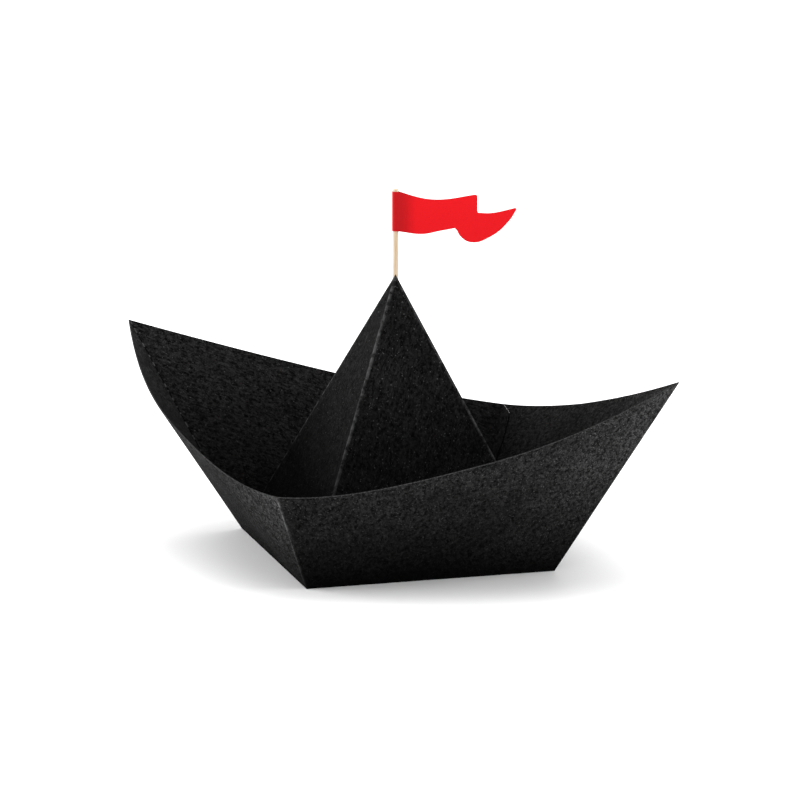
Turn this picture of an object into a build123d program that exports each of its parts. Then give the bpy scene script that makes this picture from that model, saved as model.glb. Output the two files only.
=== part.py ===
from build123d import *
from dataclasses import dataclass
from math import atan, cos, radians, sin, sqrt
import os

# A sailboat folded from one sheet of card, with a stick mast and a paper pennant.
#
# The sheet is a fan of four equal sectors about the tip of the sail, closed by a glued seam.
# Folded, the sectors' inner parts make the sail, a four-sided pyramid that is open below.
# Along the pyramid's four bottom edges the card turns back up, and makes the hull's four
# panels, which lean out and meet at two pointed ends and two lower side peaks.
#
# Millimetres, +Z up, +X towards a pointed end, origin on the surface that the boat stands on,
# below the tip of the sail. The seam is on the +Y side.

# ---- Card ----
card = 0.45  # thickness
fold_swell = 0.12  # how much fatter a bottom fold is than the card
fold_press = 0.08  # depth pressed flat under the bottom folds
mitre_turn = 10.0  # degrees that a bend runs past its crease before it is cut there
score_width = 0.2  # of the line pressed into the near side's crease, which has no seam over it
score_floor = 0.12  # from the card's middle surface to the bottom of that line
base_side = 85.0  # length of each bottom fold
sail_height = 93.6  # bottom folds to the tip of the sail
end_crease = 81.6  # length of the crease up to each pointed end
end_rise = 56.9  # degrees that it climbs
side_crease = 39.2  # length of the crease up to each side peak
side_rise = 61.7  # degrees that it climbs

# ---- Glued seam ----
tab_width = 5.0
tab_taper = 10.8  # degrees between the tab's tapered lower part and the fold
tab_top_drop = 3.6  # how far the tab's top end slopes down across its width
sail_tab_start = 12.0  # along the sail's far ridge, up from the bottom fold
sail_tab_end = 92.0

# ---- Mast ----
mast_diameter = 2.0
mast_length = 65.0
mast_point = 7.0  # length of its sharpened lower end
mast_bevel = 0.12  # broken edge round its top
mast_above_tip = 29.1
mast_behind = 1.0  # its axis behind the tip of the sail, in the open top of the seam
mast_aside = -0.55  # and to one side
mast_clearance = 0.05

# ---- Pennant ----
paper = 0.12
flag_clearance = 0.03
flag_heading = 29.0  # degrees from +X towards +Y
flag_top_gap = 0.8  # below the mast's top
flag_height = 13.3  # along the mast
flag_wrap = 4.2  # from the mast's axis to where the two layers meet
body_length = 27.2
body_dip = 10.7  # the wavy top edge at its lowest
body_dip_along = 13.4
body_top = 12.4  # the top edge at the outer end
body_sag = -0.9  # the wavy lower edge at its lowest
body_sag_along = 8.6
body_end_radius = 0.9  # round the body's top outer corner
tail_root = 6.1  # where the tail leaves the body's outer end
tail_root_radius = 1.4  # in the corner there
tail_tip = (40.3, 7.5)
tail_belly = (31.0, -2.5)
tail_keel = (25.2, -3.8)
tail_heel = (20.3, 0.6)  # where the tail's lower edge meets the body's


@dataclass
class HullSide:
    """The two mirror-image panels on one side of the hull.

    Each panel is a flat facet on its bottom fold, and two cones that bend from the facet's
    sides round to the creases. Its upper edge is two straight cuts, square to the facet, that
    meet at the facet's point.
    """

    lean: float  # degrees that the facet leans out from upright
    point_along: float  # the facet's point, along the bottom fold from the side corner
    point_up: float  # and up the card from the fold


near_side = HullSide(lean=35.1, point_along=48.2, point_up=54.6)
far_side = HullSide(lean=28.4, point_along=38.8, point_up=51.2)

# ---- Places that follow from the sizes ----
os.makedirs("parts", exist_ok=True)

fold_diameter = card + fold_swell
fold_z = fold_diameter / 2 - fold_press
half_diagonal = base_side / sqrt(2)

tip = Vector(0, 0, fold_z + sail_height)
end_corner = Vector(half_diagonal, 0, fold_z)
side_corner = Vector(0, -half_diagonal, fold_z)
hull_end = end_corner + Vector(cos(radians(end_rise)), 0, sin(radians(end_rise))) * end_crease
side_peak = side_corner + Vector(0, -cos(radians(side_rise)), sin(radians(side_rise))) * side_crease
crease_way = (side_peak - side_corner).normalized()
mast_top = tip.Z + mast_above_tip

# The quarter between +X and -Y is worked out, and the other three are mirrored from it.
fold_way = (end_corner - side_corner).normalized()
outward = fold_way.cross(Vector(0, 0, 1))


def flip_x(point):
    return Vector(-point.X, point.Y, point.Z)


def flip_y(point):
    return Vector(point.X, -point.Y, point.Z)


def facet(corners, outer=-card / 2, inner=card / 2):
    """Flat card between two depths, through the corners, anticlockwise as seen from inside."""
    first, second, third = corners[:3]
    middle = Plane(origin=first, x_dir=second - first, z_dir=(second - first).cross(third - first))
    plane = middle.offset(outer)
    with BuildPart() as flat:
        with BuildSketch(plane):
            with BuildLine():
                Polyline(*[middle.to_local_coords(corner) for corner in corners], close=True)
            make_face()
        extrude(amount=inner - outer)
    return flat.part


def trimmed(piece, place, across, keep_point):
    """piece, cut by the plane at place square to across, on keep_point's side."""
    towards = across if (keep_point - place).dot(across) > 0 else across * -1
    with BuildPart() as cut:
        add(piece)
        split(bisect_by=Plane(origin=place, z_dir=towards), keep=Keep.TOP)
    return cut.part


class Bend:
    """Card bent as a cone about a base corner, from a facet's side round to a crease."""

    def __init__(self, corner, facet_point, crease_end, facet_outward):
        self.corner = corner
        self.facet_point = facet_point
        self.crease_end = crease_end
        self.facet_outward = facet_outward
        self.start = (facet_point - corner).normalized()
        self.finish = (crease_end - corner).normalized()
        inward = facet_outward * -1
        half_angle = atan((1 - self.start.dot(self.finish)) / inward.dot(self.finish))
        self.way = self.start * cos(half_angle) + inward * sin(half_angle)
        start_arm = self.start - self.way * self.start.dot(self.way)
        finish_arm = self.finish - self.way * self.finish.dot(self.way)
        self.turn = self.way if start_arm.cross(finish_arm).dot(self.way) > 0 else self.way * -1
        self.sweep = start_arm.get_angle(finish_arm)
        self.unrolled = sin(half_angle)

    def inward_at(self, generator):
        """Square to the card at one of its straight generators, towards the inside."""
        return (self.way - generator * self.way.dot(generator)).normalized()

    def strip(self, generator, turn, sweep, outer=-card / 2, inner=card / 2):
        """Card between two depths, swept from a generator."""
        reach = 1.3 * max((self.facet_point - self.corner).length, (self.crease_end - self.corner).length)
        inward = self.inward_at(generator)
        with BuildPart() as swept:
            with BuildSketch(Plane(origin=self.corner, x_dir=generator, z_dir=generator.cross(inward))):
                with Locations((card, outer)):
                    Rectangle(reach, inner - outer, align=(Align.MIN, Align.MIN))
            revolve(axis=Axis(self.corner, turn), revolution_arc=sweep)
        return swept.part

    def panel(self):
        """The whole bend: mitred at the crease, and cut from the facet's point to the crease's end."""
        whole = self.strip(self.start, self.turn, self.sweep + mitre_turn)
        crease_side = self.finish.cross(Vector(0, 0, 1))
        mitred = trimmed(whole, self.corner, crease_side, self.facet_point)
        edge_way = self.crease_end - self.facet_point
        return trimmed(mitred, self.facet_point, edge_way.cross(self.facet_outward), self.corner)

    def glue_tab(self):
        """A tab on the inside, along the crease."""
        back = self.turn * -1
        wedge = self.strip(self.finish, back, tab_taper / self.unrolled, 0, 1.5 * card)
        inward = self.inward_at(self.finish)
        aside = back.cross(self.finish).normalized()
        wedge = trimmed(wedge, self.corner + aside * tab_width, aside, self.corner)
        top_way = aside * tab_width - self.finish * tab_top_drop
        return trimmed(wedge, self.crease_end, top_way.cross(inward), self.corner)


def hull_panel(side):
    """One hull panel in the quarter between +X and -Y: its pieces, and the bend at the side."""
    facet_up = outward * sin(radians(side.lean)) + Vector(0, 0, 1) * cos(radians(side.lean))
    facet_outward = outward * cos(radians(side.lean)) - Vector(0, 0, 1) * sin(radians(side.lean))
    point = side_corner + fold_way * side.point_along + facet_up * side.point_up
    end_bend = Bend(end_corner, point, hull_end, facet_outward)
    side_bend = Bend(side_corner, point, side_peak, facet_outward)
    return [facet([end_corner, side_corner, point]), end_bend.panel(), side_bend.panel()], side_bend


def sail_solid(depth):
    """The sail as a solid pyramid, with its faces this far inside the card's middle surface."""
    slope = base_side / 2 / sail_height
    half_side = base_side / 2 - depth * sqrt(1 + slope**2)
    peak = Vector(0, 0, fold_z + half_side / slope)
    with BuildPart() as solid:
        with BuildSketch(Plane.XY.offset(fold_z)):
            Rectangle(2 * half_side, 2 * half_side, rotation=45)
        extrude(amount=half_side / slope)
        for turn in range(0, 360, 90):
            face_outward = outward.rotate(Axis.Z, turn) + Vector(0, 0, slope)
            split(bisect_by=Plane(origin=peak, z_dir=face_outward), keep=Keep.BOTTOM)
    return solid.part


def sail_glue_tab():
    """A tab inside the sail, along the far ridge; worked out on the near ridge."""
    ridge = (tip - side_corner).normalized()
    fold = end_corner - side_corner
    aside = (fold - ridge * fold.dot(ridge)).normalized() * tab_width
    low, high = side_corner + ridge * sail_tab_start, side_corner + ridge * sail_tab_end
    chamfer = ridge * tab_width
    return facet([low, high, high - chamfer + aside, low + chamfer + aside], outer=0, inner=1.5 * card)


near_panels, _ = hull_panel(near_side)
far_panels, seam_bend = hull_panel(far_side)
base_corners = [end_corner, side_corner, flip_x(end_corner), flip_y(side_corner)]

with BuildPart() as sail:
    add(sail_solid(-card / 2))
    add(sail_solid(card / 2), mode=Mode.SUBTRACT)
    add(sail_glue_tab().mirror(Plane.XZ))
    with Locations((mast_aside, mast_behind, mast_top)):
        Cylinder(mast_diameter / 2 + mast_clearance, 2 * mast_length, mode=Mode.SUBTRACT)

with BuildPart() as folded_card:
    add(near_panels)
    add([panel.mirror(Plane.XZ) for panel in far_panels])
    mirror(about=Plane.YZ)
    add(sail)
    for corner, next_corner in zip(base_corners, base_corners[1:] + base_corners[:1]):
        with BuildSketch(Plane(origin=corner, z_dir=next_corner - corner)):
            Circle(fold_diameter / 2)
        extrude(amount=base_side)
    with Locations(*base_corners):
        Sphere(fold_diameter / 2)
    add(seam_bend.glue_tab().mirror(Plane.XZ))
    split(bisect_by=Plane.XY, keep=Keep.TOP)
    with BuildSketch(Plane(origin=side_corner + crease_way * fold_diameter, x_dir=(1, 0, 0), z_dir=crease_way)):
        with Locations((0, score_floor)):
            Rectangle(score_width, 2 * card, align=(Align.CENTER, Align.MIN))
    extrude(amount=side_crease, mode=Mode.SUBTRACT)

folded_card.part.label = "folded_card"
export_step(folded_card.part, "parts/folded_card.step")

# ---- Mast: a round stick with a broken top edge and a sharpened lower end ----
with BuildPart() as mast:
    with BuildSketch(Plane(origin=(mast_aside, mast_behind, 0), x_dir=(1, 0, 0), z_dir=(0, -1, 0))):
        with BuildLine():
            Polyline(
                (0, mast_top - mast_length),
                (mast_diameter / 2, mast_top - mast_length + mast_point),
                (mast_diameter / 2, mast_top - mast_bevel),
                (mast_diameter / 2 - mast_bevel, mast_top),
                (0, mast_top),
                close=True,
            )
        make_face()
    revolve(axis=Axis((mast_aside, mast_behind, 0), (0, 0, 1)))

mast.part.label = "mast"
export_step(mast.part, "parts/mast.step")

# ---- Pennant: one strip of paper wrapped round the mast, its two layers glued flat ----
wrap_bore = mast_diameter / 2 + flag_clearance
wrap_radius = wrap_bore + paper
flag_foot = mast_top - flag_top_gap - flag_height
flag_side = Plane(origin=(mast_aside, mast_behind, flag_foot), x_dir=Vector(1, 0, 0).rotate(Axis.Z, flag_heading),
                  z_dir=Vector(0, -1, 0).rotate(Axis.Z, flag_heading))
flag_plan = Plane(origin=(mast_aside, mast_behind, flag_foot + tail_keel[1] - 1),
                  x_dir=flag_side.x_dir, z_dir=(0, 0, 1))

with BuildPart() as flag:
    with BuildSketch(flag_plan):
        Circle(wrap_radius)
        with Locations((flag_wrap, 0)):
            Rectangle(paper, 2 * paper)
        make_hull()
        with Locations((flag_wrap, 0)):
            Rectangle(tail_tip[0], 2 * paper, align=(Align.MIN, Align.CENTER))
        Circle(wrap_bore, mode=Mode.SUBTRACT)
    extrude(amount=2 * flag_height)
    with BuildSketch(flag_side) as outline:
        with BuildLine():
            Line((0, 0), (-wrap_radius, 0))
            Line((-wrap_radius, 0), (-wrap_radius, flag_height))
            Line((-wrap_radius, flag_height), (0, flag_height))
            Spline((0, flag_height), (body_dip_along, body_dip), (body_length, body_top))
            Line((body_length, body_top), (body_length, tail_root))
            Spline((body_length, tail_root), tail_tip, tangents=[(1, 0), (1, 0.15)])
            Spline(tail_tip, tail_belly, tail_keel, tail_heel)
            Spline(tail_heel, (body_sag_along, body_sag), (0, 0))
        make_face()
        for place, radius in ((body_length, body_top), body_end_radius), ((body_length, tail_root), tail_root_radius):
            fillet(outline.vertices().sort_by_distance(Vector(*place))[0], radius=radius)
    extrude(amount=2 * wrap_radius, both=True, mode=Mode.INTERSECT)

flag.part.label = "flag"
export_step(flag.part, "parts/flag.step")
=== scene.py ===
"""A folded card sailboat with a stick mast and a paper pennant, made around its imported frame.

The card is one sheet: a fan of four sectors about the tip of the sail. The sail's four faces
are flat, and each hull panel is a flat facet with a cone of bent card on either side. The
sheet's two faces differ, as a board machine leaves them: the felt face is fibrous and is on
the sail and inside the hull, and the wire face is finely speckled and is on the hull's outside.
"""

import math

import bmesh
import bpy
from bpy.props import FloatProperty, FloatVectorProperty, PointerProperty, StringProperty
from mathutils import Matrix, Vector


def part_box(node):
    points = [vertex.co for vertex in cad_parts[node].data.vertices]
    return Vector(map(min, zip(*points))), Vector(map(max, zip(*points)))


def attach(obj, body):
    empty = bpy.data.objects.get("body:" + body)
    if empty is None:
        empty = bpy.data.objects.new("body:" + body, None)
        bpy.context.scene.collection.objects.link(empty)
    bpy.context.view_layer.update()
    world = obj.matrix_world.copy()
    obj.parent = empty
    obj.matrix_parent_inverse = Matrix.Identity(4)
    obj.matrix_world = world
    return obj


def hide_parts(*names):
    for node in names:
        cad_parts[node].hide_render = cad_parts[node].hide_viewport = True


bl_info = {
    "name": "Card Sailboat",
    "version": (1, 0, 0),
    "blender": (4, 5, 0),
    "location": "View3D > Sidebar > Sailboat",
    "description": "Builds a folded card sailboat with a stick mast and a paper pennant",
    "category": "Add Mesh",
}

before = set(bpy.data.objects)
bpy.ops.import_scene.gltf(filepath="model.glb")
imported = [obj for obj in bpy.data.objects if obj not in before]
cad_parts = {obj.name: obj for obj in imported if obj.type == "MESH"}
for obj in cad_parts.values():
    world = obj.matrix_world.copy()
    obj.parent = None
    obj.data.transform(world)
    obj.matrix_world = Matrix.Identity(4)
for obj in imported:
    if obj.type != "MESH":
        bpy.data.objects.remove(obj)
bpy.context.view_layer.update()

MM = 0.001
UP = Vector((0, 0, 1))
WELD, FINE_WELD = 2e-7, 1e-7  # metres: points closer than this are one
ON_PLANE = 1e-8  # metres: a point this near a cutting plane is on it
CELLULOSE_IOR = 1.5  # card, wood and paper alike
MAST_LOW, MAST_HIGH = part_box("mast")
MAST_AXIS = (MAST_LOW + MAST_HIGH) / 2


# ---- Helpers ----

def linear(hex_colour):
    """An sRGB hex colour, such as #1a2b3c, as linear RGBA."""
    parts = [int(hex_colour[i:i + 2], 16) / 255 for i in (1, 3, 5)]
    return [p / 12.92 if p <= 0.04045 else ((p + 0.055) / 1.055) ** 2.4 for p in parts] + [1.0]


def add_node(tree, kind, settings=None, **links):
    """Adds a node. Settings are its properties or inputs, and links are sockets to join to its inputs."""
    made = tree.nodes.new(kind)
    for key, value in (settings or {}).items():
        if isinstance(key, int) or key in made.inputs:
            made.inputs[key].default_value = value
        else:
            setattr(made, key, value)
    for key, socket in links.items():
        tree.links.new(socket, made.inputs[int(key[1:]) if key[1:].isdigit() else key.replace("_", " ")])
    return made


def new_material(name):
    """An empty material with its shader and output joined."""
    material = bpy.data.materials.new(name)
    material.use_nodes = True
    tree = material.node_tree
    tree.nodes.clear()
    shader = add_node(tree, "ShaderNodeBsdfPrincipled")
    add_node(tree, "ShaderNodeOutputMaterial", Surface=shader.outputs["BSDF"])
    return material, tree, shader


def finished(bm, name, materials, body="root"):
    """A mesh object from bm, at the origin, with its materials."""
    mesh = bpy.data.meshes.new(name)
    bm.to_mesh(mesh)
    bm.free()
    made = bpy.data.objects.new(name, mesh)
    bpy.context.scene.collection.objects.link(made)
    for material in materials:
        mesh.materials.append(material)
    if body:
        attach(made, body)
    return made


def baked(made):
    """Puts the object's modifiers into its mesh."""
    graph = bpy.context.evaluated_depsgraph_get()
    mesh = bpy.data.meshes.new_from_object(made.evaluated_get(graph), depsgraph=graph)
    old = made.data
    made.modifiers.clear()
    made.data = mesh
    mesh.name = made.name
    bpy.data.meshes.remove(old)


# ---- Materials ----

# Patterns of the board, and the light and shade painted on it, that nobody would change, in metres.
CLOUD_SIZE = 9 * MM  # uneven dye
FLECK_SIZE = 0.55 * MM  # a stray fibre is about 0.05 mm wide, too fine to show, so it is drawn coarser
# The pale line along each crease: partly rubbed dye, partly painted highlight.
CREASE_LINE_PATCH = 2.2 * MM  # a rubbed crease is pale in patches of this length
CREASE_LINE_FADE = 0.6 * MM  # how far a rubbed line fades out
# The scored creases' near-black core is painted shade.
NICK_CORE, NICK_EDGE = 0.16 * MM, 0.32 * MM  # a score's dark middle, and where it ends
# Painted shade low down: full up to this height above the ground.
FULL_SHADE_HEIGHT = 2 * MM  # fully dark up to here
# Out from the long axis, where the painted highlight on the ends begins and where it is palest,
# and along it, the same for the painted highlight beside the near side crease.
END_HIGHLIGHT_START, END_HIGHLIGHT_FULL = 36 * MM, 10 * MM
CREASE_HIGHLIGHT_START, CREASE_HIGHLIGHT_FULL = -34 * MM, -1 * MM
# Painted highlight beside the near side crease: its extra paleness, times that of the painted highlight on
# the ends.
CREASE_HIGHLIGHT_SHARE = 2.0  # the held card's extra paleness, times that of the ends
LEAST_TONE = 0.12  # however deep the pattern, some of the board's own grey is left


def card_material(name, base, streaks, flecks, dark_height, look, grain=1.0, scored=0.0, painted_highlight_gain=1.0):
    """Uncoated black board, pressed between felt and wire and dyed right through.

    To the eye it is a soft, even black that hardly shines, with grey fibres running along the
    sheet's grain, pale lines along the creases that are partly rubbed dye and partly painted
    highlight, and a few stray pale fibres. It can also carry painted shade low down and in the
    scored creases, and painted highlights towards the ends and beside the near side crease. Its
    fibres follow the flat sheet's own map, so they run through the folds.
    """
    material, tree, shader = new_material(name)
    sheet = add_node(tree, "ShaderNodeUVMap", {"uv_map": "flat_sheet"}).outputs["UV"]
    place = add_node(tree, "ShaderNodeTexCoord").outputs["Object"]

    # Fibres: the map is in metres, so a scale is one over the fibre's size. Real ones are as long
    # as these but 0.03 mm wide, and are drawn as bundles wide enough to show.
    fibre_map = add_node(tree, "ShaderNodeMapping", {
        "Scale": (1 / (look.fibre_length * MM), 1 / (look.fibre_width * MM), 1)}, Vector=sheet)
    fibre_noise = add_node(tree, "ShaderNodeTexNoise", {
        "noise_dimensions": "2D", "Scale": 1.0, "Detail": 2.0, "Roughness": 0.8, "Distortion": 0.4},
        Vector=fibre_map.outputs[0])
    fibre_share = add_node(tree, "ShaderNodeMapRange", {
        "From Min": 0.36, "From Max": 0.68, "To Min": -1.0, "To Max": 1.0},
        Value=fibre_noise.outputs["Fac"])

    # Grain: the flocs that the board formed in, from its coarsest down to an eighth of that.
    formation = add_node(tree, "ShaderNodeTexNoise", {
        "Scale": 1 / (look.grain_size * MM), "Detail": 3.0, "Roughness": 0.95}, Vector=place)
    grain_share = add_node(tree, "ShaderNodeMapRange", {
        "From Min": 0.35, "From Max": 0.65, "To Min": -1.0, "To Max": 1.0}, Value=formation.outputs["Fac"])

    # Clouds: uneven dye.
    clouds = add_node(tree, "ShaderNodeTexNoise", {
        "Scale": 1 / CLOUD_SIZE, "Detail": 3.0, "Roughness": 0.55}, Vector=place)
    cloud_share = add_node(tree, "ShaderNodeMapRange", {
        "From Min": 0.3, "From Max": 0.7, "To Min": 0.78, "To Max": 1.22}, Value=clouds.outputs["Fac"])

    # Flecks: stray pale fibres.
    fleck_noise = add_node(tree, "ShaderNodeTexNoise", {"Scale": 1 / FLECK_SIZE, "Detail": 1.0},
                           Vector=place)
    fleck_spots = add_node(tree, "ShaderNodeMapRange", {
        "From Min": 1 - flecks, "From Max": 1.06 - flecks}, Value=fleck_noise.outputs["Fac"])

    # Tone: one plus each pattern's share.
    streaked = add_node(tree, "ShaderNodeMath", {"operation": "MULTIPLY_ADD", 1: streaks, 2: 1.0},
                        i0=fibre_share.outputs[0])
    grained = add_node(tree, "ShaderNodeMath", {
        "operation": "MULTIPLY_ADD", 1: grain * look.grain_strength},
        i0=grain_share.outputs[0], i2=streaked.outputs[0])
    tone = add_node(tree, "ShaderNodeMath", {"operation": "MULTIPLY"},
                    i0=grained.outputs[0], i1=cloud_share.outputs[0])
    kept = add_node(tree, "ShaderNodeMath", {"operation": "MAXIMUM", 1: LEAST_TONE}, i0=tone.outputs[0])
    dyed = add_node(tree, "ShaderNodeVectorMath", {"operation": "SCALE", 0: linear(base)[:3]},
                    Scale=kept.outputs[0])
    flecked = add_node(tree, "ShaderNodeMix", {"data_type": "RGBA", 7: linear(look.fleck_colour)},
                       i0=fleck_spots.outputs[0], i6=dyed.outputs[0])

    # Creases and ridges lie on the planes X = 0 and Y = 0. A pale line along them is partly rubbed dye
    # and partly a painted highlight, where a rounded fold would catch the light.
    parts = add_node(tree, "ShaderNodeSeparateXYZ", Vector=place)
    across_x = add_node(tree, "ShaderNodeMath", {"operation": "ABSOLUTE"}, i0=parts.outputs["X"])
    across_y = add_node(tree, "ShaderNodeMath", {"operation": "ABSOLUTE"}, i0=parts.outputs["Y"])
    nearest = add_node(tree, "ShaderNodeMath", {"operation": "MINIMUM"},
                       i0=across_x.outputs[0], i1=across_y.outputs[0])
    rub_and_highlight = add_node(tree, "ShaderNodeMapRange", {
        "From Min": look.crease_line_width * MM / 2, "From Max": look.crease_line_width * MM / 2 + CREASE_LINE_FADE,
        "To Min": 1.0 - scored, "To Max": 0.0}, Value=nearest.outputs[0])
    patchy = add_node(tree, "ShaderNodeTexNoise", {"Scale": 1 / CREASE_LINE_PATCH, "Detail": 2.0}, Vector=place)
    patches = add_node(tree, "ShaderNodeMapRange", {
        "From Min": 0.38, "From Max": 0.62, "To Min": 0.1, "To Max": 1.0}, Value=patchy.outputs["Fac"])
    crease_line_share = add_node(tree, "ShaderNodeMath", {"operation": "MULTIPLY"},
                         i0=rub_and_highlight.outputs[0], i1=patches.outputs[0])
    wear_and_highlight_line = add_node(tree, "ShaderNodeMix", {"data_type": "RGBA", 7: linear(look.crease_line_colour)},
                    i0=crease_line_share.outputs[0], i6=flecked.outputs[2])

    # Inside the hull, the end creases are scored: a near-black core of painted shade down in the crease,
    # with pale stitches of torn fibre.
    in_score = add_node(tree, "ShaderNodeMapRange", {
        "From Min": NICK_CORE, "From Max": NICK_EDGE, "To Min": scored, "To Max": 0.0},
        Value=across_y.outputs[0])
    stitches = add_node(tree, "ShaderNodeTexNoise", {
        "noise_dimensions": "1D", "Scale": 1 / (look.stitch * MM), "Detail": 1.0}, W=parts.outputs["Z"])
    stitch_share = add_node(tree, "ShaderNodeMapRange", {
        "From Min": 0.52, "From Max": 0.6}, Value=stitches.outputs["Fac"])
    nick_shade_and_stitches = add_node(tree, "ShaderNodeMix", {
        "data_type": "RGBA", 6: linear(look.nick_shade_colour), 7: linear(look.fleck_colour)},
        i0=stitch_share.outputs[0])
    creased = add_node(tree, "ShaderNodeMix", {"data_type": "RGBA"},
                       i0=in_score.outputs[0], i6=wear_and_highlight_line.outputs[2], i7=nick_shade_and_stitches.outputs[2])

    # Painted shade: the tone falls off low down, towards the bottom folds.
    painted_low_shade = add_node(tree, "ShaderNodeMapRange", {
        "From Min": FULL_SHADE_HEIGHT, "From Max": dark_height, "To Min": look.dark_share, "To Max": 1.0},
        Value=parts.outputs["Z"])

    # Painted highlight: the board is paler towards the pointed ends.
    painted_end_highlight = add_node(tree, "ShaderNodeMapRange", {
        "interpolation_type": "SMOOTHSTEP", "From Min": END_HIGHLIGHT_FULL, "From Max": END_HIGHLIGHT_START,
        "To Min": painted_highlight_gain, "To Max": 1.0}, Value=across_y.outputs[0])
    # Painted highlight: so is the card beside the near side crease, on its -X side.
    painted_crease_highlight = add_node(tree, "ShaderNodeMapRange", {
        "interpolation_type": "SMOOTHSTEP", "From Min": CREASE_HIGHLIGHT_START, "From Max": CREASE_HIGHLIGHT_FULL},
        Value=parts.outputs["X"])
    left = add_node(tree, "ShaderNodeMath", {"operation": "LESS_THAN", 1: 0.0}, i0=parts.outputs["X"])
    near = add_node(tree, "ShaderNodeMath", {"operation": "LESS_THAN", 1: 0.0}, i0=parts.outputs["Y"])
    near_left = add_node(tree, "ShaderNodeMath", {"operation": "MULTIPLY"},
                         i0=left.outputs[0], i1=near.outputs[0])
    painted_crease_highlight_there = add_node(tree, "ShaderNodeMath", {"operation": "MULTIPLY"},
                          i0=painted_crease_highlight.outputs[0], i1=near_left.outputs[0])
    painted_crease_highlight_tone = add_node(tree, "ShaderNodeMath", {
        "operation": "MULTIPLY_ADD", 1: CREASE_HIGHLIGHT_SHARE * (painted_highlight_gain - 1), 2: 1.0}, i0=painted_crease_highlight_there.outputs[0])
    painted_highlights = add_node(tree, "ShaderNodeMath", {"operation": "MULTIPLY"},
                           i0=painted_crease_highlight_tone.outputs[0], i1=painted_end_highlight.outputs[0])
    # The painted shade low down, times the painted highlights.
    level = add_node(tree, "ShaderNodeMath", {"operation": "MULTIPLY"},
                     i0=painted_low_shade.outputs[0], i1=painted_highlights.outputs[0])
    toned = add_node(tree, "ShaderNodeVectorMath", {"operation": "SCALE"},
                     i0=creased.outputs[2], Scale=level.outputs[0])

    # Raised fibres: a few hundredths of a millimetre.
    height = add_node(tree, "ShaderNodeMath", {"operation": "ADD"},
                      i0=fibre_share.outputs[0], i1=grain_share.outputs[0])
    bump = add_node(tree, "ShaderNodeBump", {"Strength": 0.8, "Distance": 0.12 * MM},
                    Height=height.outputs[0])
    tree.links.new(toned.outputs[0], shader.inputs["Base Color"])
    tree.links.new(bump.outputs[0], shader.inputs["Normal"])
    shader.inputs["Roughness"].default_value = 0.85  # uncoated board scatters nearly all its gloss
    shader.inputs["IOR"].default_value = CELLULOSE_IOR
    shader.inputs["Specular IOR Level"].default_value = look.gloss
    shader.inputs["Sheen Weight"].default_value = look.fuzz  # loose fibre ends catch light at a slant
    shader.inputs["Sheen Roughness"].default_value = 0.45
    return material


def cut_edge_material(name, pale, look):
    """The same board where it is cut or torn: bare fibre ends, a rough matt grey paler than its faces."""
    material, tree, shader = new_material(name)
    place = add_node(tree, "ShaderNodeTexCoord").outputs["Object"]
    # Tufts of fibre ends, drawn 0.5 mm across, because real ones are too fine to show.
    ends = add_node(tree, "ShaderNodeTexNoise", {"Scale": 1 / (0.5 * MM), "Detail": 2.0}, Vector=place)
    ramp = add_node(tree, "ShaderNodeMapRange", {"From Min": 0.35, "From Max": 0.65},
                    Value=ends.outputs["Fac"])
    mixed = add_node(tree, "ShaderNodeMix", {
        "data_type": "RGBA", 6: linear(look.edge_shade), 7: linear(pale)}, i0=ramp.outputs[0])
    tree.links.new(mixed.outputs[2], shader.inputs["Base Color"])
    shader.inputs["Roughness"].default_value = 0.9
    shader.inputs["IOR"].default_value = CELLULOSE_IOR
    shader.inputs["Specular IOR Level"].default_value = look.gloss
    return material


def birch_material(sizes):
    """Birch, peeled, turned and tumbled: pale cream, silky, with fine darker vessels along the stick."""
    material, tree, shader = new_material("Polished birch stick")
    place = add_node(tree, "ShaderNodeTexCoord").outputs["Object"]
    # Real vessels are 0.08 mm wide, too fine to show, so they are drawn wider.
    vessel_width, vessel_length = 0.22 * MM, 9 * MM
    grain_map = add_node(tree, "ShaderNodeMapping", {
        "Scale": (1 / vessel_width, 1 / vessel_width, 1 / vessel_length)}, Vector=place)
    grain = add_node(tree, "ShaderNodeTexNoise", {"Scale": 1.0, "Detail": 4.0, "Roughness": 0.6},
                     Vector=grain_map.outputs[0])
    share = add_node(tree, "ShaderNodeMapRange", {"From Min": 0.35, "From Max": 0.7},
                     Value=grain.outputs["Fac"])
    mixed = add_node(tree, "ShaderNodeMix", {
        "data_type": "RGBA", 6: linear(sizes.wood_colour), 7: linear(sizes.grain_colour)},
        i0=share.outputs[0])
    bump = add_node(tree, "ShaderNodeBump", {"Strength": 0.4, "Distance": 0.03 * MM},
                    Height=share.outputs[0])
    tree.links.new(mixed.outputs[2], shader.inputs["Base Color"])
    tree.links.new(bump.outputs[0], shader.inputs["Normal"])
    shader.inputs["Roughness"].default_value = 0.6  # sanded and tumbled, not varnished
    shader.inputs["IOR"].default_value = CELLULOSE_IOR
    shader.inputs["Specular IOR Level"].default_value = 0.12
    return material


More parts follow.
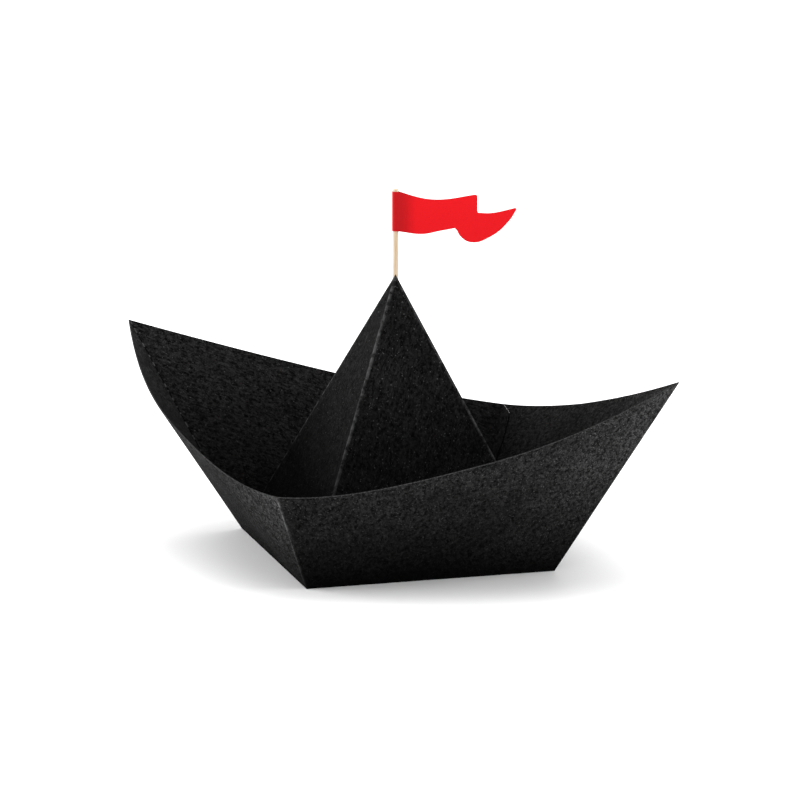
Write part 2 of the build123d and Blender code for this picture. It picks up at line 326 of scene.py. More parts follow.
def red_paper_material(sizes):
    """Uncoated dyed paper: a flat, even, strong red with a faint tooth, and painted shade beside the mast.
    """
    material, tree, shader = new_material("Matt red paper")
    place = add_node(tree, "ShaderNodeTexCoord").outputs["Object"]
    # The tooth, drawn 0.4 mm across, because the real one is too fine to show.
    tooth = add_node(tree, "ShaderNodeTexNoise", {"Scale": 1 / (0.4 * MM), "Detail": 3.0}, Vector=place)
    share = add_node(tree, "ShaderNodeMapRange", {"From Min": 0.3, "From Max": 0.7},
                     Value=tooth.outputs["Fac"])
    mixed = add_node(tree, "ShaderNodeMix", {
        "data_type": "RGBA", 6: linear(sizes.paper_colour), 7: linear(sizes.paper_shade)},
        i0=share.outputs[0])
    # Painted shade: the paper is darker beside the mast, where it curls round it.
    level = add_node(tree, "ShaderNodeVectorMath", {"operation": "MULTIPLY", 1: (1, 1, 0)}, i0=place)
    from_mast = add_node(tree, "ShaderNodeVectorMath", {
        "operation": "DISTANCE", 1: (MAST_AXIS.x, MAST_AXIS.y, 0.0)}, i0=level.outputs[0])
    fully_painted_mast_shade = 1.6 * MM
    painted_mast_shade = add_node(tree, "ShaderNodeMapRange", {
        "interpolation_type": "SMOOTHSTEP", "From Min": fully_painted_mast_shade, "From Max": sizes.painted_mast_shade,
        "To Min": sizes.painted_mast_shade_tone, "To Max": 1.0}, Value=from_mast.outputs["Value"])
    toned = add_node(tree, "ShaderNodeVectorMath", {"operation": "SCALE"},
                     i0=mixed.outputs[2], Scale=painted_mast_shade.outputs[0])
    bump = add_node(tree, "ShaderNodeBump", {"Strength": 0.3, "Distance": 0.02 * MM},
                    Height=share.outputs[0])
    tree.links.new(toned.outputs[0], shader.inputs["Base Color"])
    tree.links.new(bump.outputs[0], shader.inputs["Normal"])
    shader.inputs["Roughness"].default_value = 0.7
    shader.inputs["IOR"].default_value = CELLULOSE_IOR
    shader.inputs["Specular IOR Level"].default_value = 0.12
    return material


# ---- Sizes and colours ----

def size(name, description, default):
    """A length, given in millimetres."""
    return FloatProperty(name=name, description=description, default=default * MM, min=0.0,
                         unit="LENGTH", subtype="DISTANCE", precision=5)


def angle(name, description, default):
    """An angle, given in degrees."""
    return FloatProperty(name=name, description=description, default=math.radians(default),
                         unit="ROTATION", subtype="ANGLE")


def number(name, description, default):
    """A plain number."""
    return FloatProperty(name=name, description=description, default=default)


def spot(name, description, default):
    """A place, in metres from the middle of the ground under the boat."""
    return FloatVectorProperty(name=name, description=description, default=default, size=3,
                               unit="LENGTH", subtype="TRANSLATION", precision=5)


def colour(name, description, default):
    """An sRGB hex colour."""
    return StringProperty(name=name, description=description, default=default)


class CardSizes(bpy.types.PropertyGroup):
    """The folded card's sizes and colours."""

    card: size("Card", "Thickness of the card", 0.45)
    fold_height: size("Fold height", "Middle of the card at the bottom folds, above the ground", 0.205)
    base_side: size("Bottom fold", "Length of each bottom fold", 85.0)
    sail_height: size("Sail height", "Bottom folds to the tip of the sail", 93.6)
    end_crease: size("End crease", "Length of the crease up to each pointed end", 81.6)
    end_rise: angle("End rise", "How steeply the end crease climbs", 56.9)
    side_crease: size("Side crease", "Length of the crease up to each side peak", 39.2)
    side_rise: angle("Side rise", "How steeply the side crease climbs", 61.7)
    near_lean: angle("Near lean", "How far the near panels lean out from upright", 35.1)
    near_along: size("Near point along", "Near facets' point, along the fold from the side corner", 48.2)
    near_up: size("Near point up", "Near facets' point, up the card from the fold", 54.6)
    far_lean: angle("Far lean", "How far the far panels lean out from upright", 28.4)
    far_along: size("Far point along", "Far facets' point, along the fold from the side corner", 38.8)
    far_up: size("Far point up", "Far facets' point, up the card from the fold", 51.2)
    tab_width: size("Tab width", "Width of the glue tabs", 5.0)
    tab_taper: angle("Tab taper", "Between the hull tab's tapered lower part and the fold", 10.8)
    tab_top_drop: size("Tab drop", "How far the hull tab's top slopes down across its width", 3.6)
    tab_start: size("Sail tab start", "From the side corner up the ridge to the sail's tab", 12.0)
    tab_end: size("Sail tab end", "From the side corner up the ridge to the top of the sail's tab", 92.0)
    mast_clearance: size("Mast clearance", "Between the card and the mast", 0.05)
    fibre_length: number("Fibre length", "Length of the fibre streaks, in millimetres", 2.8)
    fibre_width: number("Fibre width", "Width of the fibre streaks, in millimetres", 0.8)
    grain_size: number("Grain size", "Size of the board's coarsest grain, in millimetres", 1.35)
    grain_strength: number("Grain strength", "How far the grain changes the tone", 1.2)
    # The pale line along a crease is partly rubbed dye and partly painted highlight.
    crease_line_width: number("Rub width", "Width of the rubbed line along a crease, in millimetres", 0.3)
    stitch: number("Stitch", "Length of the torn stitches in the end creases, in millimetres", 2.2)
    # Painted shade low down: where it ends on the hull's outside, on its inside and the sail, and its tone
    # at the bottom folds.
    outer_dark_height: size("Outer dark height", "Height below which the hull's outside gets darker", 46.0)
    inner_dark_height: size("Inner dark height", "The same for its inside and the sail", 62.0)
    dark_share: number("Dark share", "Tone at the bottom folds", 0.1)
    gloss: number("Gloss", "Specular level of the board", 0.015)
    fuzz: number("Fuzz", "Sheen of the board's loose fibres", 0.001)
    # The sail's felt face is the board's felt face again, made darker as painted shade.
    sail_shaded_colour: colour("Sail", "Colour of the fibrous face on the sail", "#141414")
    felt_colour: colour("Felt face", "Colour of the fibrous face", "#1f1f1f")
    wire_colour: colour("Wire face", "Colour of the speckled face", "#212121")
    fleck_colour: colour("Flecks", "Colour of the stray pale fibres", "#4a4a4a")
    # The crease line's colour: partly rubbed dye, partly painted highlight.
    crease_line_colour: colour("Rubbed line", "Colour of the rubbed creases", "#4c4c4c")
    # The nick's colour is painted shade down in the crease.
    nick_shade_colour: colour("Nick", "Colour down in the scored end creases", "#020202")
    edge_shade: colour("Edge shade", "Colour between the fibre ends of a cut or torn edge", "#1c1c1c")
    edge_colour: colour("Cut edge", "Colour of the cut edge", "#3a3a3a")
    # The glue tab's pale top: partly torn fibre, partly painted highlight.
    torn_colour: colour("Torn edge", "Colour of the glue tab's top", "#8c8c8c")


class MastSizes(bpy.types.PropertyGroup):
    """The mast's sizes and colours."""

    diameter: size("Diameter", "Diameter of the stick", 2.0)
    point: size("Point", "Length of its sharpened lower end", 7.0)
    bevel: size("Bevel", "Broken edge round its top", 0.12)
    wood_colour: colour("Wood", "Colour of the wood", "#d0bfa8")
    grain_colour: colour("Grain", "Colour of its darker grain", "#b89e7d")


class PennantSizes(bpy.types.PropertyGroup):
    """The pennant's sizes and colours."""

    paper: size("Paper", "Thickness of the paper", 0.12)
    clearance: size("Clearance", "Between the paper and the mast", 0.03)
    heading: angle("Heading", "Way that it flies, from +X towards +Y", 29.0)
    top_gap: size("Top gap", "Below the mast's top", 0.8)
    height: size("Height", "Along the mast", 13.3)
    wrap: size("Wrap", "From the mast's axis to where its two layers meet", 4.2)
    body_length: size("Body length", "From the mast's axis to the body's outer end", 27.2)
    reach: size("Reach", "From the mast's axis to the tail's tip", 40.3)
    corner_radius: size("Corner radius", "Round the body's top outer corner", 0.9)
    tail_radius: size("Tail radius", "In the corner where the tail leaves", 1.4)
    paper_colour: colour("Paper", "Colour of the paper", "#dc0f19")
    paper_shade: colour("Paper shade", "Colour in the paper's tooth", "#d40e17")
    # Painted shade beside the mast: how far it reaches, and its tone.
    painted_mast_shade: size("Soaked", "From the mast's axis to where the paste stops", 7.5)
    painted_mast_shade_tone: number("Soaked tone", "Tone of the paper where the paste soaked in", 0.62)


class StageSizes(bpy.types.PropertyGroup):
    """The camera, the floor and the lights. Each softbox faces its own target."""

    azimuth: angle("Azimuth", "Camera's way round, from -Y towards +X", 28.81)
    elevation: angle("Elevation", "Camera's height above the ground, as an angle", 12.52)
    roll: angle("Roll", "Camera's roll", 0.0)
    distance: size("Distance", "Camera to what it looks at", 1629.4)
    lens: number("Lens", "Focal length in millimetres, on a 36 mm sensor", 218.8)
    look_at: spot("Looks at", "What the camera looks at", (-0.0002, 0.0035, 0.0508))
    floor_colour: colour("Floor", "Colour of the floor", "#f8f8f8")
    top_light: number("Top light", "Power of the overhead softbox, in watts", 44.0)
    left_light: number("Left light", "Power of the left softbox, in watts", 33.0)
    right_light: number("Right light", "Power of the right softbox, in watts", 18.0)
    top_place: spot("Top place", "Where the overhead softbox is", (-0.2, 0.5, 2.0))
    top_target: spot("Top target", "What it faces", (0.0, 0.0, 0.0))
    left_place: spot("Left place", "Where the left softbox is", (-1.45, -0.6, 0.38))
    left_target: spot("Left target", "What it faces", (0.0, 0.0, 0.03))
    right_place: spot("Right place", "Where the right softbox is", (1.5, 0.6, 0.6))
    right_target: spot("Right target", "What it faces", (0.0, 0.0, 0.05))
    room_light: number("Room light", "Strength of the even light from all round", 0.88)


# ---- Folded card ----

SHAPES = {"sail": 1, "facet": 2, "end": 3, "side": 4}
BEND_STEPS = 28
TAB_LIFT = 1.04  # card thicknesses from the sheet's middle to a tab's, so that they lie just clear
SHARP_EDGE = math.radians(25)


class HullSide:
    """The corners of one side's panel, in the quarter between +X and -Y."""

    def __init__(self, sizes, lean, along, up):
        half_diagonal = sizes.base_side / math.sqrt(2)
        self.sizes, self.along, self.up = sizes, along, up
        self.end_corner = Vector((half_diagonal, 0, sizes.fold_height))
        self.side_corner = Vector((0, -half_diagonal, sizes.fold_height))
        self.fold_way = (self.end_corner - self.side_corner).normalized()
        outward = self.fold_way.cross(UP)
        self.facet_outward = outward * math.cos(lean) - UP * math.sin(lean)
        facet_up = outward * math.sin(lean) + UP * math.cos(lean)
        self.point = self.side_corner + self.fold_way * along + facet_up * up
        self.hull_end = self.end_corner + sizes.end_crease * Vector(
            (math.cos(sizes.end_rise), 0, math.sin(sizes.end_rise)))
        self.side_peak = self.side_corner + sizes.side_crease * Vector(
            (0, -math.cos(sizes.side_rise), math.sin(sizes.side_rise)))
        self.tip = Vector((0, 0, sizes.fold_height + sizes.sail_height))
        self.end_bend = Bend(self, self.end_corner, self.hull_end, (sizes.base_side, 0.0), -1)
        self.side_bend = Bend(self, self.side_corner, self.side_peak, (0.0, 0.0), 1)

    def flat(self, shape, place):
        """Where a place in the quarter is on the flat panel: along the fold, and out from it."""
        if shape == SHAPES["end"]:
            return self.end_bend.flat(place)
        if shape == SHAPES["side"]:
            return self.side_bend.flat(place)
        arm = place - self.side_corner
        along = arm.dot(self.fold_way)
        out = (arm - self.fold_way * along).length
        return along, -out if shape == SHAPES["sail"] else out


class Bend:
    """Card bent as a cone about a base corner, from a facet's side round to a crease."""

    def __init__(self, side, corner, crease_end, flat_corner, flat_turn):
        self.side, self.corner, self.crease_end = side, corner, crease_end
        self.start = (side.point - corner).normalized()
        self.finish = (crease_end - corner).normalized()
        inward = -side.facet_outward
        half_angle = math.atan((1 - self.start.dot(self.finish)) / inward.dot(self.finish))
        way = self.start * math.cos(half_angle) + inward * math.sin(half_angle)
        self.start_arm = self.start - way * self.start.dot(way)
        finish_arm = self.finish - way * self.finish.dot(way)
        self.turn = way if self.start_arm.cross(finish_arm).dot(way) > 0 else -way
        self.way = way
        self.sweep = self.start_arm.angle(finish_arm)
        self.unrolled = math.sin(half_angle)
        self.flat_corner, self.flat_turn = flat_corner, flat_turn
        self.flat_start = math.atan2(side.up - flat_corner[1], side.along - flat_corner[0])

    def inward_at(self, generator):
        """Square to the card at one of its straight generators, towards the inside."""
        return (self.way - generator * self.way.dot(generator)).normalized()

    def flat(self, place):
        """Where a place on the bend is on the flat panel."""
        arm = place - self.corner
        reach = arm.length
        round_arm = arm - self.way * arm.dot(self.way)
        swept = self.start_arm.angle(round_arm, 0.0)
        if self.start_arm.cross(round_arm).dot(self.turn) < 0:
            swept = -swept
        heading = self.flat_start + self.flat_turn * swept * self.unrolled
        return (self.flat_corner[0] + reach * math.cos(heading),
                self.flat_corner[1] + reach * math.sin(heading))


def add_face(bm, shape, kind, corners):
    """One flat face through the corners, tagged with its shape."""
    made = bm.faces.new([bm.verts.new(corner) for corner in corners])
    made[kind] = shape
    return made


def add_bend(bm, bend, kind, shape):
    """The bend's sheet, spun from the facet's side to the crease and cut along the gunwale."""
    past_gunwale = 1.5 * max((bend.side.point - bend.corner).length, (bend.crease_end - bend.corner).length)
    verts = [bm.verts.new(place) for place in (
        bend.corner, bend.side.point, bend.corner + bend.start * past_gunwale)]
    edges = [bm.edges.new(verts[:2]), bm.edges.new(verts[1:])]
    before = set(bm.faces)
    bmesh.ops.spin(bm, geom=verts + edges, cent=bend.corner, axis=bend.turn, angle=bend.sweep,
                   steps=BEND_STEPS)
    made = [face for face in bm.faces if face not in before]
    for face in made:
        face[kind] = shape
    geom = set(made) | {e for f in made for e in f.edges} | {v for f in made for v in f.verts}
    gunwale = (bend.crease_end - bend.side.point).cross(bend.side.facet_outward).normalized()
    if gunwale.dot(bend.corner - bend.side.point) > 0:
        gunwale.negate()
    bmesh.ops.bisect_plane(bm, geom=list(geom), dist=ON_PLANE, plane_co=bend.side.point, plane_no=gunwale,
                           clear_outer=True)


def half_sheet(sizes, side, flip):
    """The near or far half of the sheet, as a bmesh with the sheet's middle surface."""
    bm = bmesh.new()
    kind = bm.faces.layers.int.new("shape")
    add_face(bm, SHAPES["sail"], kind, [side.side_corner, side.end_corner, side.tip])
    add_face(bm, SHAPES["facet"], kind, [side.end_corner, side.side_corner, side.point])
    add_bend(bm, side.end_bend, kind, SHAPES["end"])
    add_bend(bm, side.side_bend, kind, SHAPES["side"])
    bmesh.ops.remove_doubles(bm, verts=bm.verts, dist=WELD)
    bmesh.ops.dissolve_degenerate(bm, edges=bm.edges, dist=FINE_WELD)
    bmesh.ops.mirror(bm, geom=bm.verts[:] + bm.edges[:] + bm.faces[:], axis="X", merge_dist=WELD)
    if flip:
        bmesh.ops.scale(bm, vec=(1, -1, 1), verts=bm.verts)
    return bm


def map_flat_sheet(bm, near, far):
    """Maps each face where it is on the flat sheet, in metres, with the grain along U."""
    kind = bm.faces.layers.int["shape"]
    uv = bm.loops.layers.uv.new("flat_sheet")
    slant = math.hypot(near.sizes.sail_height, near.sizes.base_side / 2)
    sector = 2 * math.atan(near.sizes.base_side / 2 / slant)
    for face in bm.faces:
        middle = face.calc_center_median()
        side = near if middle.y < 0 else far
        heading = -sector / 2 if side is near else -1.5 * sector  # the middle of the face's own sector
        for loop in face.loops:
            x, y, z = loop.vert.co
            along, out = side.flat(face[kind], Vector((abs(x), -abs(y), z)))
            across = near.sizes.base_side / 2 - along
            if side is far:
                across = -across
            u = (slant + out) * math.cos(heading) - across * math.sin(heading)
            v = (slant + out) * math.sin(heading) + across * math.cos(heading)
            loop[uv].uv = (u, v if middle.x > 0 else -v)


def make_card(sizes, materials):
    """The folded sheet, with its thickness and the hole for the mast."""
    near = HullSide(sizes, sizes.near_lean, sizes.near_along, sizes.near_up)
    far = HullSide(sizes, sizes.far_lean, sizes.far_along, sizes.far_up)
    bm = half_sheet(sizes, near, flip=False)
    other = half_sheet(sizes, far, flip=True)
    scratch = bpy.data.meshes.new("scratch")
    other.to_mesh(scratch)
    other.free()
    bm.from_mesh(scratch)
    bpy.data.meshes.remove(scratch)
    bmesh.ops.remove_doubles(bm, verts=bm.verts, dist=WELD)
    bmesh.ops.recalc_face_normals(bm, faces=bm.faces)
    kind = bm.faces.layers.int["shape"]
    sail = next(face for face in bm.faces if face[kind] == SHAPES["sail"])
    if sail.normal.z < 0:
        bmesh.ops.reverse_faces(bm, faces=bm.faces)
    map_flat_sheet(bm, near, far)
    for face in bm.faces:
        face.material_index = 0 if face[kind] == SHAPES["sail"] else 1
    # The sheet's other face takes the material two along, and its cut edge the one four along.
    card = finished(bm, "folded_card_sheet", materials)
    wall = card.modifiers.new("Wall", "SOLIDIFY")
    wall.solidify_mode = "NON_MANIFOLD"
    wall.nonmanifold_thickness_mode = "CONSTRAINTS"
    wall.nonmanifold_boundary_mode = "NONE"
    wall.thickness = sizes.card
    wall.offset = 0.0
    wall.material_offset = 2
    wall.material_offset_rim = 4
    baked(card)
    for vert in card.data.vertices:
        vert.co.z = max(vert.co.z, 0.0)  # pressed flat below by the boat's own weight

    # The hole that the mast comes out of.
    drill_bm = bmesh.new()
    bore = (MAST_HIGH.x - MAST_LOW.x) / 2 + sizes.mast_clearance
    drill_length = 120 * MM  # well past the tip, above and below
    bmesh.ops.create_cone(drill_bm, cap_ends=True, segments=48, radius1=bore, radius2=bore,
                          depth=drill_length, matrix=Matrix.Translation(MAST_AXIS))
    drill = finished(drill_bm, "drill", materials[-1:], body=None)
    hole = card.modifiers.new("Hole", "BOOLEAN")
    hole.operation = "DIFFERENCE"
    hole.solver = "EXACT"
    hole.object = drill
    baked(card)
    bpy.data.objects.remove(drill)
    return card, far


def make_tabs(sizes, far, materials):
    """The glue tabs along the seam, inside the hull and inside the sail."""
    bend = far.side_bend
    inward = bend.inward_at(bend.finish)

    # The hull's tab: bent with the card it lies on, then cut to its width and its sloping top.
    bm = bmesh.new()
    lift = inward * sizes.card * TAB_LIFT
    past_top = 1.4 * (bend.crease_end - bend.corner).length
    ends = [bm.verts.new(bend.corner + lift), bm.verts.new(bend.corner + bend.finish * past_top + lift)]
    edge = bm.edges.new(ends)
    bmesh.ops.spin(bm, geom=ends + [edge], cent=bend.corner, axis=-bend.turn,
                   angle=sizes.tab_taper / bend.unrolled, steps=10)
    aside = (-bend.turn).cross(bend.finish).normalized()
    top_way = aside * sizes.tab_width - bend.finish * sizes.tab_top_drop
    for place, across in ((bend.corner + aside * sizes.tab_width, aside),
                          (bend.crease_end, top_way.cross(inward))):
        across = across.normalized()
        if across.dot(bend.corner + bend.finish * sizes.tab_width - place) > 0:
            across.negate()
        bmesh.ops.bisect_plane(bm, geom=bm.verts[:] + bm.edges[:] + bm.faces[:], dist=ON_PLANE,
                               plane_co=place, plane_no=across, clear_outer=True)

    # The sail's tab: flat, along the ridge, with both ends cut at a slant.
    ridge = (far.tip - far.side_corner).normalized()
    fold = far.end_corner - far.side_corner
    tab_aside = (fold - ridge * fold.dot(ridge)).normalized()
    depth = ridge.cross(tab_aside).normalized()
    if depth.dot(Vector((0, 1, 0))) < 0:
        depth.negate()
    low, high = (far.side_corner + ridge * along for along in (sizes.tab_start, sizes.tab_end))
    corners = [low, high, high + (tab_aside - ridge) * sizes.tab_width,
               low + (tab_aside + ridge) * sizes.tab_width]
    bm.faces.new([bm.verts.new(corner + depth * sizes.card * TAB_LIFT) for corner in corners])

    bmesh.ops.remove_doubles(bm, verts=bm.verts, dist=WELD)
    bmesh.ops.scale(bm, vec=(1, -1, 1), verts=bm.verts)
    bmesh.ops.recalc_face_normals(bm, faces=bm.faces)
    tabs = finished(bm, "glue_tabs", materials)
    wall = tabs.modifiers.new("Wall", "SOLIDIFY")
    wall.thickness = sizes.card
    wall.offset = 0.0
    wall.use_even_offset = True
    wall.material_offset_rim = 2
    baked(tabs)
    # Painted shade and highlight: the tabs' sideways and downward faces take the dark face material, and
    # only their up-facing tops keep the pale edge colour.
    for polygon in tabs.data.polygons:
        if polygon.normal.z < 0.5:
            polygon.material_index = 0  # only the cut tops are pale
    return tabs


class SAILBOAT_OT_card(bpy.types.Operator):
    """Folds the card hull and sail"""

    bl_idname = "sailboat.card"
    bl_label = "Folded Card"

    def execute(self, context):
        sizes = context.scene.sailboat_card
        inner, outer = sizes.inner_dark_height, sizes.outer_dark_height
        # The felt face's streaks are strong and its grain weak, and the wire face is the other way.
        # The sail gets a darker copy of the felt face: painted shade.
        sail = card_material("Black board, felt face of the sail", sizes.sail_shaded_colour, streaks=0.5,
                             flecks=0.31, dark_height=inner, look=sizes, grain=0.7)
        felt = card_material("Black board, felt face", sizes.felt_colour, streaks=0.6,
                             flecks=0.31, dark_height=inner, look=sizes, grain=0.75, scored=1.0)
        wire = card_material("Black board, wire face", sizes.wire_colour, streaks=0.3,
                             flecks=0.34, dark_height=outer, look=sizes, painted_highlight_gain=1.6)
        edge = cut_edge_material("Cut edge of black board", sizes.edge_colour, sizes)
        torn = cut_edge_material("Torn edge of black board", sizes.torn_colour, sizes)
        card, far = make_card(sizes, [sail, felt, wire, wire, edge, edge])
        tabs = make_tabs(sizes, far, [felt, felt, torn])
        for piece in (card, tabs):
            piece.data.set_sharp_from_angle(angle=SHARP_EDGE)
        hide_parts("folded_card")
        return {"FINISHED"}


# ---- Mast ----

class SAILBOAT_OT_mast(bpy.types.Operator):
    """Turns the stick mast"""

    bl_idname = "sailboat.mast"
    bl_label = "Mast"

    def execute(self, context):
        sizes = context.scene.sailboat_mast
        radius = sizes.diameter / 2
        low, top = MAST_LOW.z, MAST_HIGH.z
        bm = bmesh.new()
        # Its outline, out from the axis and up.
        profile = [(0, low), (radius, low + sizes.point), (radius, top - sizes.bevel),
                   (radius - sizes.bevel, top), (0, top)]
        verts = [bm.verts.new((MAST_AXIS.x + out, MAST_AXIS.y, height)) for out, height in profile]
        edges = [bm.edges.new(pair) for pair in zip(verts, verts[1:])]
        bmesh.ops.subdivide_edges(bm, edges=edges[1:2], cuts=12)
        bmesh.ops.spin(bm, geom=bm.verts[:] + bm.edges[:], cent=(MAST_AXIS.x, MAST_AXIS.y, 0), axis=UP,
                       angle=math.tau, steps=48, use_merge=True)
        bmesh.ops.remove_doubles(bm, verts=bm.verts, dist=FINE_WELD)
        bmesh.ops.recalc_face_normals(bm, faces=bm.faces)
        mast = finished(bm, "stick_mast", [birch_material(sizes)])
        mast.data.shade_smooth()
        mast.data.set_sharp_from_angle(angle=math.radians(30))
        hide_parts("mast")
        return {"FINISHED"}


# ---- Pennant ----

def pennant_outline(sizes):
    """The pennant's outline as a flat filled curve: along it, and up from its foot."""
    height, body, reach = (length / MM for length in (sizes.height, sizes.body_length, sizes.reach))
    # Each point, in millimetres: along, up, and whether the outline turns sharply there.
    points = [
        (-1.4, 0.0, True), (-1.4, height, True), (0.6, height, True), (12.4, height - 2.7, False),
        (body, height - 1.0, True), (body, 6.1, True), (31.7, 6.0, False), (reach - 0.6, 7.7, True),
        (reach, 7.4, True), (37.8, 3.4, False), (31.2, -2.2, False), (25.2, -3.9, False),
        (21.6, -1.9, False), (20.4, 0.2, True), (19.7, 0.9, True), (15.0, 0.0, False),
        (8.6, -1.1, False), (0.6, 0.0, True),
    ]
    curve = bpy.data.curves.new("outline", "CURVE")
    curve.dimensions = "2D"
    curve.fill_mode = "BOTH"
    spline = curve.splines.new("BEZIER")
    spline.bezier_points.add(len(points) - 1)
    spline.use_cyclic_u = True
    spline.resolution_u = 14
    for point, (along, up, sharp) in zip(spline.bezier_points, points):
        point.co = (along * MM, up * MM, 0)
        point.handle_left_type = point.handle_right_type = "FREE" if sharp else "AUTO"
    # At a sharp turn each handle points a third of the way to its neighbour.
    count = len(points)
    for i, (along, up, sharp) in enumerate(points):
        if sharp:
            for step, side in ((-1, "handle_left"), (1, "handle_right")):
                other = points[(i + step) % count]
                setattr(spline.bezier_points[i], side,
                        Vector((along + (other[0] - along) / 3, up + (other[1] - up) / 3, 0)) * MM)
    return curve


class SAILBOAT_OT_pennant(bpy.types.Operator):
    """Wraps the paper pennant round the mast"""

    bl_idname = "sailboat.pennant"
    bl_label = "Pennant"

    def execute(self, context):
        sizes = context.scene.sailboat_pennant
        mast_radius = context.scene.sailboat_mast.diameter / 2
        foot = MAST_HIGH.z - sizes.top_gap - sizes.height
        radius = mast_radius + sizes.clearance + sizes.paper / 2
        half = sizes.paper * 0.51  # the layers lie just clear of each other
        touch = math.acos(radius / sizes.wrap)
        low, high = -20 * MM, 30 * MM  # the uncut strip, taller than the pennant
        past_tail = 2 * MM
        glue_bend = 1.2 * MM  # where the two layers come together
        cutter_depth = 8 * MM

        # The wrapped strip, flying along +X round an upright axis at the origin.
        bm = bmesh.new()
        verts = [bm.verts.new((radius * math.cos(touch), radius * math.sin(touch), z)) for z in (low, high)]
        first = bm.edges.new(verts)
        bmesh.ops.spin(bm, geom=verts + [first], cent=(0, 0, 0), axis=UP,
                       angle=math.tau - 2 * touch, steps=28)
        ends = sorted((e for e in bm.edges if e.is_boundary and e.calc_length() > high),
                      key=lambda e: e.verts[0].co.y)
        for edge, across in zip(ends, (-half, half)):
            for along in (sizes.wrap, sizes.reach + past_tail):
                grown = bmesh.ops.extrude_edge_only(bm, edges=[edge])["geom"]
                moved = [g for g in grown if isinstance(g, bmesh.types.BMVert)]
                edge = next(g for g in grown if isinstance(g, bmesh.types.BMEdge))
                for vert in moved:
                    vert.co.x, vert.co.y = along, across
        meeting = [e for e in bm.edges if all(abs(v.co.x - sizes.wrap) < 1e-6 for v in e.verts)]
        bmesh.ops.bevel(bm, geom=meeting, offset=glue_bend, offset_type="OFFSET", segments=4, profile=0.5,
                        affect="EDGES", material=-1)
        bmesh.ops.recalc_face_normals(bm, faces=bm.faces)
        paper = red_paper_material(sizes)
        pennant = finished(bm, "paper_pennant", [paper])
        wall = pennant.modifiers.new("Wall", "SOLIDIFY")
        wall.thickness = sizes.paper
        wall.offset = 0.0
        baked(pennant)

        # The outline, as a solid that cuts the strip.
        outline = bpy.data.objects.new("outline", pennant_outline(sizes))
        bpy.context.scene.collection.objects.link(outline)
        graph = bpy.context.evaluated_depsgraph_get()
        flat = bpy.data.meshes.new_from_object(outline.evaluated_get(graph))
        bpy.data.objects.remove(outline)
        cutter_bm = bmesh.new()
        cutter_bm.from_mesh(flat)
        bpy.data.meshes.remove(flat)
        bmesh.ops.remove_doubles(cutter_bm, verts=cutter_bm.verts, dist=FINE_WELD)
        bmesh.ops.dissolve_limit(cutter_bm, angle_limit=math.radians(1), verts=cutter_bm.verts,
                                 edges=cutter_bm.edges)
        corners = [v for v in cutter_bm.verts if abs(v.co.x - sizes.body_length) < 1e-6]
        corners.sort(key=lambda v: -v.co.y)
        for corner, round_off in zip(corners, (sizes.corner_radius, sizes.tail_radius)):
            bmesh.ops.bevel(cutter_bm, geom=[corner], offset=round_off, offset_type="OFFSET", segments=6,
                            profile=0.5, affect="VERTICES", material=-1)
        bmesh.ops.rotate(cutter_bm, verts=cutter_bm.verts, matrix=Matrix.Rotation(math.pi / 2, 3, "X"))
        bmesh.ops.translate(cutter_bm, verts=cutter_bm.verts, vec=(0, cutter_depth / 2, 0))
        walls = bmesh.ops.extrude_face_region(cutter_bm, geom=cutter_bm.faces[:])["geom"]
        far_verts = [g for g in walls if isinstance(g, bmesh.types.BMVert)]
        bmesh.ops.translate(cutter_bm, verts=far_verts, vec=(0, -cutter_depth, 0))
        bmesh.ops.recalc_face_normals(cutter_bm, faces=cutter_bm.faces)
        cutter = finished(cutter_bm, "cutter", [paper], body=None)
        cut = pennant.modifiers.new("Cut", "BOOLEAN")
        cut.operation = "INTERSECT"
        cut.solver = "EXACT"
        cut.object = cutter
        baked(pennant)
        bpy.data.objects.remove(cutter)
        heading = Matrix.Rotation(sizes.heading, 4, "Z")
        pennant.data.transform(Matrix.Translation((MAST_AXIS.x, MAST_AXIS.y, foot)) @ heading)
        pennant.data.shade_smooth()
        pennant.data.set_sharp_from_angle(angle=SHARP_EDGE)
        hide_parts("flag")
        return {"FINISHED"}


# ---- Stage ----

def softbox(name, watts, width, depth, place, target):
    """A rectangular softbox that faces the target and isn't itself seen."""
    light = bpy.data.lights.new(name, "AREA")
    light.shape = "RECTANGLE"
    light.size, light.size_y = width, depth
    light.energy = watts
    lamp = bpy.data.objects.new(name, light)
    bpy.context.scene.collection.objects.link(lamp)
    lamp.location = place
    lamp.rotation_euler = (target - place).to_track_quat("-Z", "Y").to_euler()
    lamp.visible_camera = False


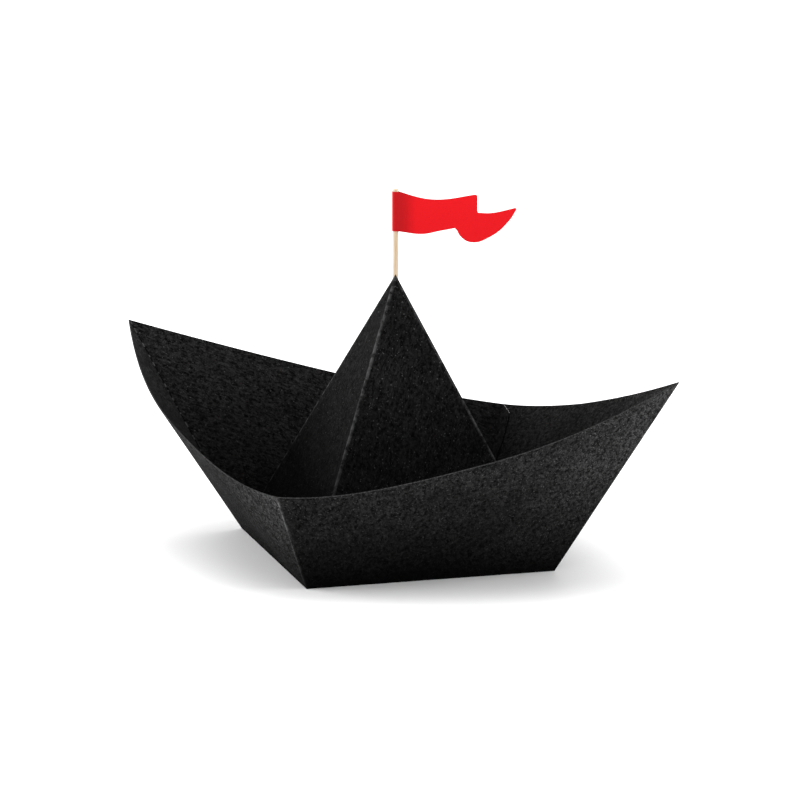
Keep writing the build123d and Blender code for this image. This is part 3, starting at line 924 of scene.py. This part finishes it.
class SAILBOAT_OT_stage(bpy.types.Operator):
    """Sets the floor, the lights and the camera"""

    bl_idname = "sailboat.stage"
    bl_label = "Stage"

    def execute(self, context):
        scene = context.scene
        sizes = scene.sailboat_stage
        bm = bmesh.new()
        bmesh.ops.create_grid(bm, x_segments=8, y_segments=8, size=4.0)
        # A sweep of matt white paper: plain and even, so that only the soft shadow is seen on it.
        material, _, shader = new_material("Matt white paper sweep")
        shader.inputs["Base Color"].default_value = linear(sizes.floor_colour)
        shader.inputs["Roughness"].default_value = 0.95
        shader.inputs["Specular IOR Level"].default_value = 0.1
        floor = finished(bm, "floor", [material], body=None)

        softbox("Top softbox", sizes.top_light, 2.4, 2.4, sizes.top_place, sizes.top_target)
        softbox("Left softbox", sizes.left_light, 1.4, 0.7, sizes.left_place, sizes.left_target)
        softbox("Right softbox", sizes.right_light, 1.0, 1.0, sizes.right_place, sizes.right_target)
        world = bpy.data.worlds.new("Even white room")
        world.use_nodes = True
        background = world.node_tree.nodes["Background"]
        background.inputs["Color"].default_value = (1, 1, 1, 1)
        background.inputs["Strength"].default_value = sizes.room_light
        scene.world = world
        scene.view_settings.view_transform = "Standard"

        camera = bpy.data.objects.new("Camera", bpy.data.cameras.new("Camera"))
        scene.collection.objects.link(camera)
        camera.data.sensor_width = 36.0
        camera.data.lens = sizes.lens
        camera.data.clip_start, camera.data.clip_end = 0.05, 20.0
        level = math.cos(sizes.elevation)
        back = Vector((math.sin(sizes.azimuth) * level, -math.cos(sizes.azimuth) * level,
                       math.sin(sizes.elevation)))
        camera.location = sizes.look_at + back * sizes.distance
        aim = (-back).to_track_quat("-Z", "Y").to_matrix().to_4x4()
        camera.rotation_euler = (aim @ Matrix.Rotation(sizes.roll, 4, "Z")).to_euler()
        scene.camera = camera
        return {"FINISHED"}


# ---- Add-on ----

class SAILBOAT_PT_panel(bpy.types.Panel):
    """Lists the sailboat's operators"""

    bl_idname = "SAILBOAT_PT_panel"
    bl_label = "Card Sailboat"
    bl_space_type = "VIEW_3D"
    bl_region_type = "UI"
    bl_category = "Sailboat"

    def draw(self, context):
        layout = self.layout
        for operator, group in STEPS:
            box = layout.box()
            box.operator(operator.bl_idname)
            settings = getattr(context.scene, group)
            for key in settings.__annotations__:
                box.prop(settings, key)


# Each scene property's group, and the operators in the order that they run.
GROUPS = {"sailboat_card": CardSizes, "sailboat_mast": MastSizes, "sailboat_pennant": PennantSizes,
          "sailboat_stage": StageSizes}
STEPS = [(SAILBOAT_OT_card, "sailboat_card"), (SAILBOAT_OT_mast, "sailboat_mast"),
         (SAILBOAT_OT_pennant, "sailboat_pennant"), (SAILBOAT_OT_stage, "sailboat_stage")]
CLASSES = [*GROUPS.values(), *(operator for operator, _ in STEPS), SAILBOAT_PT_panel]


def register():
    """Adds the classes and the scene's properties."""
    for made in CLASSES:
        bpy.utils.register_class(made)
    for name, group in GROUPS.items():
        setattr(bpy.types.Scene, name, PointerProperty(type=group))


def unregister():
    """Takes them away again."""
    for name in GROUPS:
        delattr(bpy.types.Scene, name)
    for made in reversed(CLASSES):
        bpy.utils.unregister_class(made)


def main():
    """Builds everything."""
    register()
    for operator, _ in STEPS:
        area, name = operator.bl_idname.split(".")
        getattr(getattr(bpy.ops, area), name)()


if __name__ == "__main__":
    main()
